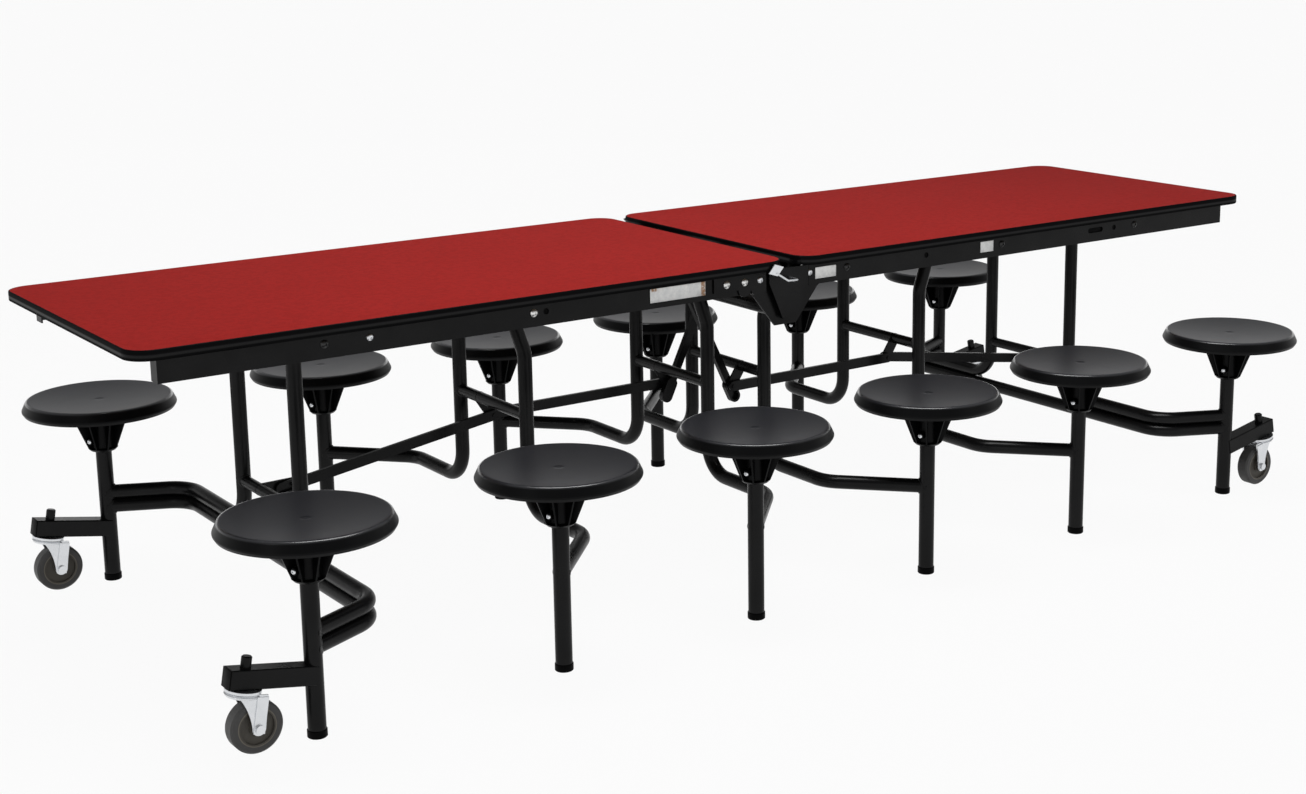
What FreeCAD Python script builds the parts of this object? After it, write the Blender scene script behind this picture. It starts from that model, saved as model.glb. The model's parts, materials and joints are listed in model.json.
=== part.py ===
# Folding mobile dining table with twelve attached round swivel stools, in millimetres.
# The table stands open on the floor: X runs along its length, Y across it and Z up, with the
# origin on the floor below the middle. The two halves are the same half turned about Z.
import FreeCAD, Part
import math
import os
import re
import Sketcher

V = FreeCAD.Vector
DOC = FreeCAD.newDocument("folding_table")

# Driving dimensions, by the piece that carries them
DIMENSIONS = {
    # tops
    "table_height": 737.0,
    "top_thickness": 21.0,
    "laminate_thickness": 1.0,
    "band_thickness": 3.0,
    "band_edge_radius": 2.5,
    "top_width": 762.0,
    "half_length": 1485.0,
    "centre_gap": 40.0,
    "corner_radius": 50.0,
    # side rails
    "rail_inset": 31.0,
    "rail_height": 51.0,
    "rail_wall": 3.0,
    "rail_flange": 32.0,
    "rail_inner_end": 60.0,
    "rail_setback": 57.0,
    "rail_hole": 13.0,
    "near_hole_place": 626.0,
    "far_hole_place": 412.0,
    "far_end_hole_place": 1044.0,
    "rail_slot_start": 958.0,
    "rail_slot_end": 997.0,
    "hinge_plate_wall": 4.0,
    "hinge_plate_start": 205.0,
    "hinge_plate_end": 66.0,
    "hinge_plate_height": 34.0,
    "hinge_plate_top_gap": 4.0,
    "second_lobe": 88.0,
    "lobe_radius": 17.0,
    # pivots along the rails
    "pivot_drop": 22.0,
    "hinge_place": 122.0,
    "inner_pivot": 171.0,
    "end_pivot_inset": 387.0,
    "bolt_diameter": 10.0,
    "bolt_reach": 28.0,
    "bolt_head": 17.0,
    "bolt_head_rim": 1.2,
    "bolt_head_height": 5.0,
    "bolt_socket": 6.0,
    "bolt_socket_depth": 2.5,
    "running_clearance": 0.05,
    "side_clearance": 0.5,
    "hole_clearance": 0.2,
    # tube frames
    "leg_tube": 32.0,
    "cross_tube": 25.4,
    "pivot_tube": 25.4,
    "post_tube": 35.0,
    "leg_offset": 89.0,
    "leg_spread": 150.0,
    "leg_shoulder": 27.0,
    "leg_shoulder_drop": 54.0,
    "leg_slant_drop": 134.0,
    "shoulder_bend": 50.0,
    "slant_bend": 60.0,
    "foot_bend": 70.0,
    "knee_bend": 80.0,
    "arm_height": 207.0,
    "knee_place": 381.0,
    "cross_height": 420.0,
    "stool_setback": 72.0,
    "stool_side": 553.0,
    # end frames
    "end_leg_offset": 20.0,
    "end_knee_place": 475.0,
    "end_cross_height": 301.0,
    "end_stool_setback": 146.0,
    "lower_arm_drop": 32.2,
    # bars and their brackets
    "bar_side": 58.0,
    "bracket_wall": 5.0,
    "bracket_eye": 14.0,
    "pin_diameter": 10.0,
    "pin_overhang": 2.0,
    "pin_reach": 30.0,
    "pin_drop": 45.0,
    "end_pin_reach": 72.0,
    "bar_height": 24.0,
    "bar_wall": 8.0,
    "link_wall": 14.0,
    "link_floor": 3.0,
    "link_height": 18.0,
    "outer_slot_in": 2.0,
    "outer_slot_out": 28.0,
    "outer_slot_width": 17.5,
    "link_slot_out": 32.0,
    "link_slot_width": 20.0,
    "link_pivot_place": 70.0,
    "link_pivot_drop": 66.0,
    "link_head": 15.0,
    # yoke at the middle
    "yoke_tube": 38.0,
    "yoke_tube_drop": 82.0,
    "yoke_plate_wall": 5.0,
    "yoke_plate_gap": 6.0,
    "yoke_lobe": 16.0,
    "yoke_waist": 92.0,
    "yoke_shoulder_drop": 34.0,
    "yoke_foot": 30.0,
    "cover_wall": 3.0,
    "cover_gap": 1.0,
    "cover_rise": 18.5,
    "cover_short_side": 54.0,
    "cover_short_drop": 11.0,
    "cover_tip": 16.5,
    "cover_tip_drop": 96.0,
    "cover_toe": 32.0,
    "cover_toe_drop": 77.0,
    "cover_waist": 40.0,
    "cover_waist_low": 64.0,
    "cover_waist_high": 36.0,
    "cover_long_side": 56.0,
    "cover_long_drop": 26.0,
    # lock levers on the covers
    "lever_rod": 5.0,
    "lever_place": 2.0,
    "lever_drop": 4.0,
    "lever_root": 8.0,
    "lever_stand": 33.0,
    "lever_run": 28.0,
    "lever_dip": 1.0,
    "lever_reach": 62.0,
    "lever_rise": 22.0,
    "lever_bend": 7.0,
    "hook_wall": 3.0,
    "hook_place": 59.0,
    "hook_start": 15.0,
    "hook_lean": 17.0,
    "hook_height": 19.0,
    "hook_width": 24.0,
    "hook_slope": 8.0,
    # feet and seats
    "cap_sole": 3.0,
    "cap_height": 16.0,
    "cap_wall": 1.6,
    "cap_chamfer": 1.5,
    "bush_wall": 3.0,
    "bush_height": 84.0,
    "bush_top": 2.0,
    "seat_radius": 168.0,
    "seat_height": 432.0,
    "seat_plug": 37.0,
    "seat_axial_clearance": 0.1,
    "seat_wall": 5.0,
    "seat_skirt": 29.0,
    "seat_foot_rise": 8.0,
    "seat_foot_tuck": 5.0,
    "seat_foot_round": 5.0,
    "seat_crest_inset": 10.0,
    "seat_crest_width": 7.0,
    "seat_crest_round": 6.5,
    "seat_dish": 6.0,
    "seat_dimple_radius": 12.0,
    "seat_dimple_depth": 0.8,
    "hub_depth": 124.0,
    "hub_sleeve": 24.5,
    "hub_bottom_radius": 32.5,
    "hub_collar": 5.0,
    "hub_web": 3.0,
    "rib_wall": 3.5,
    "rib_top_radius": 76.0,
    # casters
    "caster_tilt": 10.5,
    "caster_arm": 38.0,
    "caster_arm_height": 125.0,
    "caster_arm_length": 170.0,
    "caster_arm_corner": 3.0,
    "caster_stem_place": 137.0,
    "stem_diameter": 12.0,
    "stem_cap_diameter": 20.0,
    "stem_cap_height": 22.0,
    "stem_cap_chamfer": 2.0,
    "race_gap": 1.0,
    "race_radius": 34.0,
    "race_height": 14.0,
    "race_waist": 3.0,
    "race_groove": 4.7,
    "fork_wall": 3.0,
    "fork_width": 42.0,
    "fork_back": 20.0,
    "fork_front": 40.0,
    "fork_curve": 112.0,
    "fork_eye": 13.0,
    "fork_rib_width": 22.0,
    "fork_rib_depth": 2.0,
    "fork_rib_gap": 4.0,
    "caster_trail": 30.0,
    "axle_drop": 72.6,
    "axle_diameter": 10.0,
    "axle_head": 17.0,
    "axle_head_height": 5.0,
    "wheel_radius": 51.0,
    "wheel_width": 32.0,
    "wheel_crown": 4.0,
    "tyre_depth": 14.0,
    "hub_recess": 5.0,
    "wheel_boss": 15.0,
    "cut_overrun": 5.0,
}
RIB_COUNT = 8
# How far along from the inner to the end pivot the middle one stands
MIDDLE_SHARE = 484 / 947

# Places that follow from the sizes above, as formulas on the same sheet
PLACES = {
    "pivot_height": "table_height - top_thickness - pivot_drop",
    "top_outer": "centre_gap / 2 + half_length",
    "rail_face": "top_width / 2 - rail_inset",
    "rail_outer_end": "top_outer - rail_setback",
    "end_pivot": "top_outer - end_pivot_inset",
    "frame_pitch": f"(end_pivot - inner_pivot) * {MIDDLE_SHARE}",
    "post_top": "seat_height - seat_plug",
    "hub_bottom": "seat_height - hub_depth",
    "yoke_tube_height": "pivot_height - yoke_tube_drop",
    "link_pivot_height": "pivot_height - link_pivot_drop",
    "lever_height": "pivot_height - lever_drop",
}

SHEET = DOC.addObject("Spreadsheet::Sheet", "dims")
for row, (alias, entry) in enumerate((DIMENSIONS | PLACES).items(), start=1):
    SHEET.set(f"A{row}", alias)
    SHEET.set(f"B{row}", str(entry) if alias in DIMENSIONS else "=" + entry)
    SHEET.setAlias(f"B{row}", alias)
DOC.recompute()

# Places worked out from the driving dimensions, as expressions
UNDERSIDE = "(table_height - top_thickness)"
PIVOT_HEIGHT = "pivot_height"
MID_PIVOT = "(inner_pivot + frame_pitch)"
TOP_OUTER = "top_outer"
RAIL_INSIDE = "(rail_face - rail_wall)"
PLATE_OUTSIDE = f"({RAIL_INSIDE} - yoke_plate_gap)"
PIN_X = "(leg_offset + pin_reach)"
PIN_Z = f"(cross_height - pin_drop - {PIVOT_HEIGHT})"
END_PIN_X = "(end_leg_offset + end_pin_reach)"
END_PIN_Z = f"(end_cross_height - {PIVOT_HEIGHT})"
PIN_LENGTH = "(bracket_wall + 2 * bar_wall + 2 * side_clearance + 2 * pin_overhang)"
AXLE_LENGTH = "(fork_width + 2 * fork_wall + 2 * fork_rib_depth)"


def bound(text):
    """Point every name in an expression at its cell of the sheet."""
    return re.sub(r"\b([a-z]\w*)\b(?!\()", r"dims.\1", str(text))


def size(text):
    """The present value of an expression on the sheet."""
    return float(PROBE.evalExpression(bound(text)))


PROBE = DOC.addObject("App::FeaturePython", "probe")


def set_sizes(thing, **expressions):
    for name, text in expressions.items():
        thing.setExpression(name, bound(text))


def place(thing, x="0", y="0", z="0", turn=None):
    """Put an object at a point given in expressions, turned by (axis, degrees)."""
    if turn:
        thing.Placement = FreeCAD.Placement(V(0, 0, 0), FreeCAD.Rotation(V(*turn[0]), turn[1]))
    thing.setExpression("Placement.Base.x", bound(x))
    thing.setExpression("Placement.Base.y", bound(y))
    thing.setExpression("Placement.Base.z", bound(z))
    return thing


# Sketches and features
def new_body(name):
    return DOC.addObject("PartDesign::Body", name)


def new_sketch(body, name, plane):
    sketch = body.newObject("Sketcher::SketchObject", name)
    support = [item for item in body.Origin.OriginFeatures if item.Role == plane][0]
    sketch.AttachmentSupport = [(support, "")]
    sketch.MapMode = "FlatFace"
    return sketch


def pin_point(sketch, edge, end, x, y):
    """Hold one point of a sketch at (x, y), both given as expressions."""
    for kind, text in (("DistanceX", x), ("DistanceY", y)):
        index = sketch.addConstraint(Sketcher.Constraint(kind, -1, 1, edge, end, size(text)))
        sketch.setExpression(f"Constraints[{index}]", bound(text))


def arc_between(start, end, centre_x):
    """An arc from start to end whose centre lies on the line x = centre_x."""
    rise = end.y - start.y
    gap = end.x ** 2 - start.x ** 2 + end.y ** 2 - start.y ** 2 - 2 * centre_x * (end.x - start.x)
    centre = V(centre_x, gap / (2 * rise), 0)
    middle = (start + end) / 2 - centre
    middle.normalize()
    through = centre + middle * (start - centre).Length
    return Part.Arc(start, through, end)


def draw_outline(sketch, corners):
    """A closed outline. A corner is (x, y), or (x, y, centre_x) where an arc leads to the next."""
    first = sketch.GeometryCount
    spots = [V(size(corner[0]), size(corner[1]), 0) for corner in corners]
    count = len(corners)
    for index, corner in enumerate(corners):
        start = spots[index]
        end = spots[(index + 1) % count]
        if len(corner) == 2:
            sketch.addGeometry(Part.LineSegment(start, end), False)
        else:
            sketch.addGeometry(arc_between(start, end, size(corner[2])), False)
    ends = []
    for index, corner in enumerate(corners):
        edge = first + index
        ends.append((1, 2))
        if len(corner) == 3:
            begin = sketch.getPoint(edge, 1)
            if (begin - spots[index]).Length > (sketch.getPoint(edge, 2) - spots[index]).Length:
                ends[-1] = (2, 1)
    for index, corner in enumerate(corners):
        follower = (index + 1) % count
        sketch.addConstraint(Sketcher.Constraint(
            "Coincident", first + index, ends[index][1], first + follower, ends[follower][0]))
    for index, corner in enumerate(corners):
        pin_point(sketch, first + index, ends[index][0], corner[0], corner[1])
        if len(corner) == 3:
            held = sketch.addConstraint(Sketcher.Constraint(
                "DistanceX", -1, 1, first + index, 3, size(corner[2])))
            sketch.setExpression(f"Constraints[{held}]", bound(corner[2]))
    return sketch


def draw_circle(sketch, x, y, radius):
    edge = sketch.addGeometry(Part.Circle(V(size(x), size(y), 0), V(0, 0, 1), size(radius)), False)
    pin_point(sketch, edge, 3, x, y)
    index = sketch.addConstraint(Sketcher.Constraint("Radius", edge, size(radius)))
    sketch.setExpression(f"Constraints[{index}]", bound(radius))
    return sketch


def pad(body, sketch, length, middle=False, back=False):
    feature = body.newObject("PartDesign::Pad", sketch.Name + "_pad")
    feature.Profile = sketch
    feature.Reversed = back
    feature.Midplane = middle
    set_sizes(feature, Length=length)
    DOC.recompute()
    return feature


def cut_through(body, sketch, length):
    feature = body.newObject("PartDesign::Pocket", sketch.Name + "_cut")
    before = body.Shape.Volume
    feature.Profile = sketch
    feature.Midplane = True
    set_sizes(feature, Length=length)
    DOC.recompute()
    if feature.Shape.Volume >= before:
        raise RuntimeError(f"{sketch.Name} cuts nothing")
    return feature


def revolve(body, sketch):
    feature = body.newObject("PartDesign::Revolution", sketch.Name + "_turned")
    feature.Profile = sketch
    feature.ReferenceAxis = (sketch, ["V_Axis"])
    DOC.recompute()
    return feature


def fillet(body, base, radius, wanted):
    """Round the edges of the body for which wanted(edge) is true."""
    feature = body.newObject("PartDesign::Fillet", base.Name + "_round")
    names = [f"Edge{n}" for n, edge in enumerate(base.Shape.Edges, start=1) if wanted(edge)]
    feature.Base = (base, names)
    set_sizes(feature, Radius=radius)
    DOC.recompute()
    return feature


def is_upright(edge):
    return abs(edge.BoundBox.ZLength) > max(edge.BoundBox.XLength, edge.BoundBox.YLength)


# Booleans and groups
def cylinder(name, diameter, length, x="0", y="0", z="0", turn=None):
    thing = DOC.addObject("Part::Cylinder", name)
    set_sizes(thing, Radius=f"{diameter} / 2", Height=length)
    return place(thing, x, y, z, turn)


def cut(name, base, *tools):
    if len(tools) > 1:
        tool = DOC.addObject("Part::MultiFuse", name + "_tools")
        tool.Shapes = list(tools)
    else:
        tool = tools[0]
    thing = DOC.addObject("Part::Cut", name)
    thing.Base = base
    thing.Tool = tool
    return thing


def fuse(name, *things):
    thing = DOC.addObject("Part::MultiFuse", name)
    thing.Shapes = list(things)
    thing.Refine = True
    return thing


def group(name, *things):
    thing = DOC.addObject("Part::Compound", name)
    thing.Links = list(things)
    return thing


def mirrored(name, thing):
    """The same piece on the other side of the table's long middle plane."""
    other = DOC.addObject("Part::Mirroring", name)
    other.Source = thing
    other.Normal = V(0, 1, 0)
    return other


def free_shape(name, shape):
    thing = DOC.addObject("Part::Feature", name)
    thing.Shape = shape
    return thing


ALONG_Y = ((1, 0, 0), -90)
TO_NEAR = ((1, 0, 0), 90)
HALF_TURN = ((0, 0, 1), 180)
NODES = []


def node(name, thing, x="0", y="0", z="0", turn=None):
    """One named sub-part of the table: the piece itself, put where it sits."""
    item = group(name, thing)
    place(item, x, y, z, turn)
    NODES.append(item)
    return item


def both_halves(name, thing, x="0", y="0", z="0"):
    """The left sub-part, and the same turned half round for the right."""
    node("left_" + name, thing, x, y, z)
    node("right_" + name, thing, f"-({x})", f"-({y})", z, HALF_TURN)


# Shapes that no sketch or primitive makes: bent tubes and straps
def bent_tube(name, diameter, corners, bends):
    """A round tube through corners, with one bend radius for each corner between the ends."""
    spots = [V(*[size(part) for part in corner]) for corner in corners]
    edges = []
    start = spots[0]
    for before, corner, after, bend in zip(spots, spots[1:], spots[2:], bends):
        inward = (before - corner).normalize()
        outward = (after - corner).normalize()
        half_angle = inward.getAngle(outward) / 2
        setback = size(bend) / math.tan(half_angle)
        first = corner + inward * setback
        last = corner + outward * setback
        bisector = (inward + outward).normalize()
        centre = corner + bisector * (size(bend) / math.sin(half_angle))
        middle = centre - bisector * size(bend)
        edges.append(Part.LineSegment(start, first).toShape())
        edges.append(Part.Arc(first, middle, last).toShape())
        start = last
    edges.append(Part.LineSegment(start, spots[-1]).toShape())
    path = Part.Wire(edges)
    ring = Part.Wire(Part.Circle(spots[0], spots[1] - spots[0], size(diameter) / 2).toShape())
    return free_shape(name, path.makePipeShell([ring], True, False))


def strap_shape(start, end, start_radius, end_radius, wall):
    """A flat plate in XZ, wall thick from y = 0, whose ends are round and whose sides touch both."""
    along = end - start
    lean = math.asin((start_radius - end_radius) / along.Length)
    along.normalize()
    across = V(-along.z, 0, along.x)
    upper = across * math.cos(lean) + along * math.sin(lean)
    lower = across * -math.cos(lean) + along * math.sin(lean)
    corners = [start + upper * start_radius, end + upper * end_radius,
               end + lower * end_radius, start + lower * start_radius]
    edges = [Part.LineSegment(corners[0], corners[1]).toShape(),
             Part.Arc(corners[1], end + along * end_radius, corners[2]).toShape(),
             Part.LineSegment(corners[2], corners[3]).toShape(),
             Part.Arc(corners[3], start - along * start_radius, corners[0]).toShape()]
    return Part.Face(Part.Wire(edges)).extrude(V(0, wall, 0))


def round_hole(spot, diameter, wall):
    overrun = size("cut_overrun")
    return Part.makeCylinder(diameter / 2, wall + 2 * overrun, spot - V(0, overrun, 0), V(0, 1, 0))


# Tops: a board with a laminate face, and a moulded edge band round both
def top_slab(name, inset, thickness, height):
    body = new_body(name)
    edge = f"-({TOP_OUTER} - {inset})"
    heart = f"-(centre_gap / 2 + {inset})"
    side = f"(top_width / 2 - {inset})"
    sketch = draw_outline(new_sketch(body, name + "_outline", "XY_Plane"), [
        (edge, f"-{side}"), (heart, f"-{side}"), (heart, side), (edge, side)])
    slab = pad(body, sketch, thickness)
    rounded = fillet(body, slab, f"corner_radius - {inset}", is_upright)
    place(body, z=height)
    return body, rounded


core, _ = top_slab("core", "band_thickness", "top_thickness - laminate_thickness", UNDERSIDE)
face, _ = top_slab("face", "band_thickness", "laminate_thickness", "table_height - laminate_thickness")
rim, rim_rounded = top_slab("rim", "0", "top_thickness", UNDERSIDE)
fillet(rim, rim_rounded, "band_edge_radius", lambda edge: not is_upright(edge))
band = cut("band", rim, core, face)
both_halves("tabletop_core", core)
both_halves("tabletop_laminate", face)
both_halves("edge_band", band)


# Side rails: steel angles under the long edges, drilled for the pivots
def make_rail(name, spare_holes, slotted):
    """A rail on the far side, with its outer end at x = 0 and turned in there."""
    body = new_body(name)
    top = UNDERSIDE
    low = f"({UNDERSIDE} - rail_height)"
    lip = f"({UNDERSIDE} - rail_wall)"
    inner = "(rail_face - rail_flange)"
    pad(body, draw_outline(new_sketch(body, name + "_profile", "YZ_Plane"), [
        ("rail_face", low), ("rail_face", top), (inner, top),
        (inner, lip), (RAIL_INSIDE, lip), (RAIL_INSIDE, low)]),
        "rail_outer_end - rail_inner_end")
    pad(body, draw_outline(new_sketch(body, name + "_end", "YZ_Plane"), [
        ("rail_face", low), ("rail_face", top), (inner, top), (inner, low)]), "rail_wall")
    holes = new_sketch(body, name + "_holes", "XZ_Plane")
    for spot in ("hinge_place", "inner_pivot", MID_PIVOT, "end_pivot"):
        draw_circle(holes, f"rail_outer_end - {spot}", PIVOT_HEIGHT, "bolt_diameter / 2 + hole_clearance")
    for spot in spare_holes:
        draw_circle(holes, f"rail_outer_end - {spot}", PIVOT_HEIGHT, "rail_hole / 2")
    cut_through(body, holes, "2 * rail_face + 2 * cut_overrun")
    if slotted:
        start = "(rail_outer_end - rail_slot_end)"
        end = "(rail_outer_end - rail_slot_start)"
        slot_low = f"({PIVOT_HEIGHT} - rail_hole / 2)"
        slot_high = f"({PIVOT_HEIGHT} + rail_hole / 2)"
        slot = draw_outline(new_sketch(body, name + "_slot", "XZ_Plane"), [
            (start, slot_low), (end, slot_low), (end, slot_high), (start, slot_high)])
        cut_through(body, slot, "2 * rail_face + 2 * cut_overrun")
    return place(body, x="-rail_outer_end")


def make_hinge_plate():
    body = new_body("hinge_plate")
    top = f"({UNDERSIDE} - hinge_plate_top_gap)"
    low = f"({UNDERSIDE} - hinge_plate_top_gap - hinge_plate_height)"
    pad(body, draw_outline(new_sketch(body, "hinge_plate_outline", "XZ_Plane"), [
        ("-hinge_plate_start", low), ("-hinge_plate_end", low),
        ("-hinge_plate_end", top), ("-hinge_plate_start", top)]), "hinge_plate_wall")
    for spot in ("hinge_place", "second_lobe"):
        lobe = new_sketch(body, "lobe_" + spot, "XZ_Plane")
        pad(body, draw_circle(lobe, f"-{spot}", low, "lobe_radius"), "hinge_plate_wall")
    holes = new_sketch(body, "hinge_plate_holes", "XZ_Plane")
    for spot in ("hinge_place", "inner_pivot"):
        draw_circle(holes, f"-{spot}", PIVOT_HEIGHT, "bolt_diameter / 2 + hole_clearance")
    cut_through(body, holes, "2 * hinge_plate_wall + 2 * cut_overrun")
    return place(body, y="-rail_face")


far_holes = ("far_hole_place", "rail_slot_start", "rail_slot_end", "far_end_hole_place")
far_rail = make_rail("far_rail", far_holes, True)
near_rail = mirrored("near_rail", make_rail("near_rail_blank", ("near_hole_place",), False))
both_halves("side_rails", group("rail_set", far_rail, near_rail, make_hinge_plate()))


# Pivot bolts: domed socket heads outside the rails, shanks that carry the frames and the yoke
def make_bolt():
    body = new_body("pivot_bolt")
    floor = "(bolt_head_height - bolt_socket_depth)"
    revolve(body, draw_outline(new_sketch(body, "bolt_profile", "XZ_Plane"), [
        ("0", "-bolt_reach"), ("bolt_diameter / 2", "-bolt_reach"), ("bolt_diameter / 2", "0"),
        ("bolt_head / 2", "0"), ("bolt_head / 2", "bolt_head_rim", "0"),
        ("bolt_socket / 2", "bolt_head_height"), ("bolt_socket / 2", floor), ("0", floor)]))
    return body


def bolt_set():
    bolt = make_bolt()
    flush_pin = cylinder("flush_pin", "bolt_diameter", "bolt_reach", z="-bolt_reach")
    bolts = []
    for spot in ("hinge_place", "inner_pivot", MID_PIVOT, "end_pivot"):
        near = group("near_bolt", bolt)
        doubled = "hinge_plate_wall" if spot in ("hinge_place", "inner_pivot") else "0"
        bolts.append(place(near, f"-{spot}", f"-(rail_face + {doubled})", PIVOT_HEIGHT, TO_NEAR))
        far = group("far_bolt", flush_pin if spot == "hinge_place" else bolt)
        bolts.append(place(far, f"-{spot}", "rail_face", PIVOT_HEIGHT, ALONG_Y))
    return group("bolt_set", *bolts)


both_halves("pivot_bolts", bolt_set())


# Tube frames: each swings on a tube between the rails and ends in two stool posts
def make_pivot_tube(name):
    half = f"({RAIL_INSIDE} - side_clearance)"
    tube = cylinder(name + "_outside", "pivot_tube", f"2 * {half}", y=f"-{half}", turn=ALONG_Y)
    bore = "(bolt_diameter + 2 * running_clearance)"
    depth = "(bolt_reach + cut_overrun)"
    near = cylinder(name + "_near_bore", bore, depth, y=f"-{half}", turn=ALONG_Y)
    far = cylinder(name + "_far_bore", bore, depth, y=f"{half} - {depth}", turn=ALONG_Y)
    return cut(name, tube, near, far)


def make_post(name, setback):
    return cylinder(name, "post_tube", "post_top - cap_sole", f"-{setback}", "stool_side",
                    f"cap_sole - {PIVOT_HEIGHT}")


def make_bracket(name, tube_x, tube_z, pin_x, pin_z, tube, pin):
    """A plate hung on a cross tube, with the pin that the bars turn on."""
    start = V(size(tube_x), 0, size(tube_z))
    end = V(size(pin_x), 0, size(pin_z))
    tube_end = size("cross_tube / 2 + side_clearance")
    blank = strap_shape(start, end, tube_end, size("bracket_eye"), size("bracket_wall"))
    plate = free_shape(name + "_blank", blank)
    place(plate, y="bar_side - bracket_wall / 2")
    return cut(name, plate, tube, pin)


def make_frame(name, leg_x, leg_corners, bends, cross_at, setback, pin_at, extra=()):
    """The welded tubes of one frame, about its pivot axis."""
    pivot = make_pivot_tube(name + "_pivot")
    post = make_post(name + "_post", setback)
    leg_blank = bent_tube(name + "_leg_blank", "leg_tube", leg_corners, bends)
    leg = cut(name + "_leg", leg_blank, post, pivot_core(name))
    cross_z = f"({cross_at} - {PIVOT_HEIGHT})"
    cross_rod = cylinder(name + "_cross_rod", "cross_tube", "2 * leg_spread",
                         leg_x, "-leg_spread", cross_z, ALONG_Y)
    leg_pair = [leg, mirrored(name + "_near_leg", leg)]
    cross = cut(name + "_cross", cross_rod, *leg_pair)
    pin = cylinder(name + "_pin", "pin_diameter", PIN_LENGTH, pin_at[0], f"bar_side - {PIN_LENGTH} / 2",
                   pin_at[1], ALONG_Y)
    bracket = make_bracket(name + "_bracket", leg_x, cross_z, pin_at[0], pin_at[1], cross_rod, pin)
    posts = [post, mirrored(name + "_near_post", post)]
    return group(name, pivot, *leg_pair, cross, *posts, bracket, pin, *extra)


def pivot_core(name):
    half = f"({RAIL_INSIDE} - side_clearance)"
    return cylinder(name + "_core", "pivot_tube", f"2 * {half}", y=f"-{half}", turn=ALONG_Y)


ARM_Z = f"(arm_height - {PIVOT_HEIGHT})"
LOWER_ARM_Z = f"({ARM_Z} - lower_arm_drop)"
stool_frame = make_frame(
    "stool_frame", "leg_offset",
    [("0", "leg_spread", "0"), ("leg_offset - leg_shoulder", "leg_spread", "-leg_shoulder_drop"),
     ("leg_offset", "leg_spread", "-leg_slant_drop"), ("leg_offset", "leg_spread", ARM_Z),
     ("leg_offset", "knee_place", ARM_Z), ("-stool_setback", "stool_side", ARM_Z)],
    ["shoulder_bend", "slant_bend", "foot_bend", "knee_bend"],
    "cross_height", "stool_setback", (PIN_X, PIN_Z))

# End frames: doubled arms, and outriggers for the casters
end_post = make_post("end_post_core", "end_stool_setback")
lower_arms = cut(
    "lower_arms",
    bent_tube("lower_arm_blank", "leg_tube",
              [("-end_stool_setback", "-stool_side", LOWER_ARM_Z),
               ("end_leg_offset", "-end_knee_place", LOWER_ARM_Z),
               ("end_leg_offset", "end_knee_place", LOWER_ARM_Z),
               ("-end_stool_setback", "stool_side", LOWER_ARM_Z)], ["knee_bend", "knee_bend"]),
    end_post, mirrored("end_near_post_core", end_post))


def make_caster_arm():
    """A square tube that leans up and outward from the post, drilled for the stem."""
    body = new_body("caster_arm")
    half = "(caster_arm / 2)"
    bar = pad(body, draw_outline(new_sketch(body, "caster_arm_section", "YZ_Plane"), [
        (f"-{half}", f"-{half}"), (half, f"-{half}"), (half, half), (f"-{half}", half)]),
        "caster_arm_length", back=True)
    fillet(body, bar, "caster_arm_corner",
           lambda edge: edge.BoundBox.XLength > size("caster_arm"))
    hole = draw_circle(new_sketch(body, "caster_arm_hole", "XY_Plane"), "-caster_stem_place", "0",
                       "stem_diameter / 2 + hole_clearance")
    cut_through(body, hole, "2 * caster_arm")
    return body


TILT = ((0, 1, 0), size("caster_tilt"))
ARM_MOUNT_Z = f"(caster_arm_height - {PIVOT_HEIGHT})"
tilted_arm = place(group("tilted_arm", make_caster_arm()),
                   "-end_stool_setback", "stool_side", ARM_MOUNT_Z, TILT)
outrigger = cut("outrigger", tilted_arm, end_post)
end_frame = make_frame(
    "end_frame", "end_leg_offset",
    [("end_leg_offset", "leg_spread", "0"), ("end_leg_offset", "leg_spread", ARM_Z),
     ("end_leg_offset", "end_knee_place", ARM_Z), ("-end_stool_setback", "stool_side", ARM_Z)],
    ["foot_bend", "knee_bend"], "end_cross_height", "end_stool_setback", (END_PIN_X, END_PIN_Z),
    (lower_arms, outrigger, mirrored("near_outrigger", outrigger)))

FRAMES = (("inner", stool_frame, "inner_pivot", "stool_setback"),
          ("middle", stool_frame, MID_PIVOT, "stool_setback"),
          ("end", end_frame, "end_pivot", "end_stool_setback"))
for label, frame, pivot, _ in FRAMES:
    both_halves(label + "_frame", frame, f"-{pivot}", "0", PIVOT_HEIGHT)


# Foot caps under the posts, and the bushes on top that the seats turn on
def make_cap():
    body = new_body("foot_cap")
    outside = "(post_tube / 2 + cap_wall)"
    revolve(body, draw_outline(new_sketch(body, "foot_cap_profile", "XZ_Plane"), [
        ("0", "0"), (f"{outside} - cap_chamfer", "0"), (outside, "cap_chamfer"),
        (outside, "cap_height - cap_chamfer"), ("post_tube / 2", "cap_height"),
        ("post_tube / 2", "cap_sole"), ("0", "cap_sole")]))
    return body


def make_bush():
    body = new_body("seat_bush")
    outside = "(post_tube / 2 + bush_wall)"
    revolve(body, draw_outline(new_sketch(body, "seat_bush_profile", "XZ_Plane"), [
        ("post_tube / 2", "post_top - bush_height"), (outside, "post_top - bush_height"),
        (outside, "post_top + bush_top"), ("0", "post_top + bush_top"),
        ("0", "post_top"), ("post_tube / 2", "post_top")]))
    return body


cap = make_cap()
bush = make_bush()
for label, _, pivot, setback in FRAMES:
    for piece, shape in (("foot_caps", cap), ("seat_bushes", bush)):
        far = place(group(f"{label}_{piece}_far", shape), f"-({pivot} + {setback})", "stool_side")
        near = mirrored(f"{label}_{piece}_near", far)
        both_halves(f"{label}_{piece}", group(f"{label}_{piece}_pair", far, near))


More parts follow.
